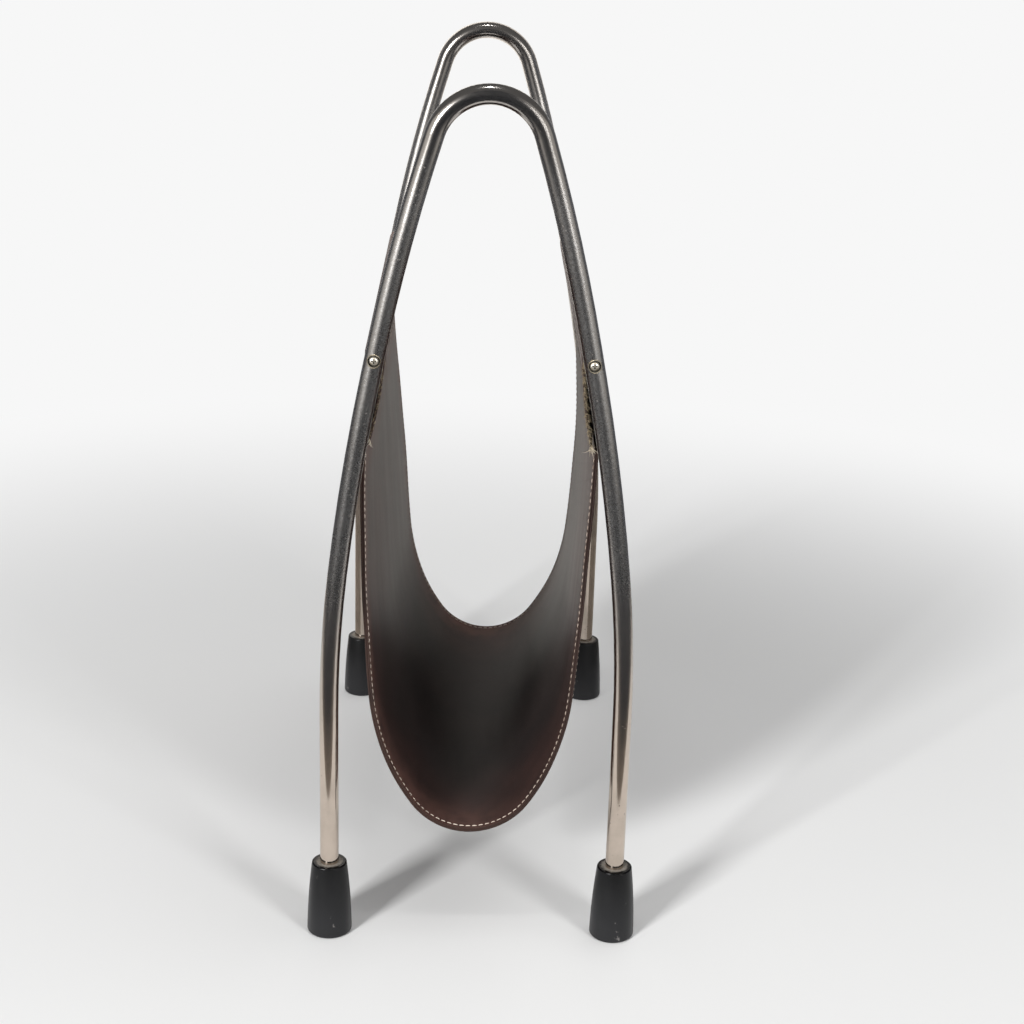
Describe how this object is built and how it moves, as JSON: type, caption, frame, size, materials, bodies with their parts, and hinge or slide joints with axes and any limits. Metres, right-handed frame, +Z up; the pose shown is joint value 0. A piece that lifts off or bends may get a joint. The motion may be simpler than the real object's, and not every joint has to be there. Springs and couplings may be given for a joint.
{
  "type": "magazine rack",
  "caption": "Free-standing magazine rack: a stitched leather sling hangs on cross rods between bent chrome-tube hoops with rubber feet.",
  "frame": {"origin": "on the floor, midway between the four feet", "axes": "+Z up; +X to the right seen from the front hoop; +Y towards the back hoop, along the rods"},
  "size_m": [0.214, 0.403, 0.548],
  "materials": {
    "chrome_tube": "polished chrome plate, finely pitted with age",
    "steel": "bright drawn steel",
    "screw_metal": "nickelled brass, worn",
    "cup_metal": "nickelled brass, worn",
    "black_rubber": "matt black with light scuffs",
    "sling_leather": "dark brown, fine grain, soft sheen",
    "lining_leather": "dark brown, fine grain, soft sheen",
    "thread": "cream waxed thread"
  },
  "bodies": {
    "root": {"front_hoop": "chrome_tube", "back_hoop": "chrome_tube", "left_rod": "steel", "right_rod": "steel", "front_left_screw": "screw_metal", "front_left_screw_cup": "cup_metal", "front_left_foot": "black_rubber", "front_left_foot_washer": "steel", "front_right_screw": "screw_metal", "front_right_screw_cup": "cup_metal", "front_right_foot": "black_rubber", "front_right_foot_washer": "steel", "back_left_screw": "screw_metal", "back_left_screw_cup": "cup_metal", "back_left_foot": "black_rubber", "back_left_foot_washer": "steel", "back_right_screw": "screw_metal", "back_right_screw_cup": "cup_metal", "back_right_foot": "black_rubber", "back_right_foot_washer": "steel", "sling_outer": "sling_leather", "sling_lining": "lining_leather", "front_edge_stitching": "thread", "back_edge_stitching": "thread", "left_loop_stitching": "thread", "right_loop_stitching": "thread"}
  },
  "joints": []
}
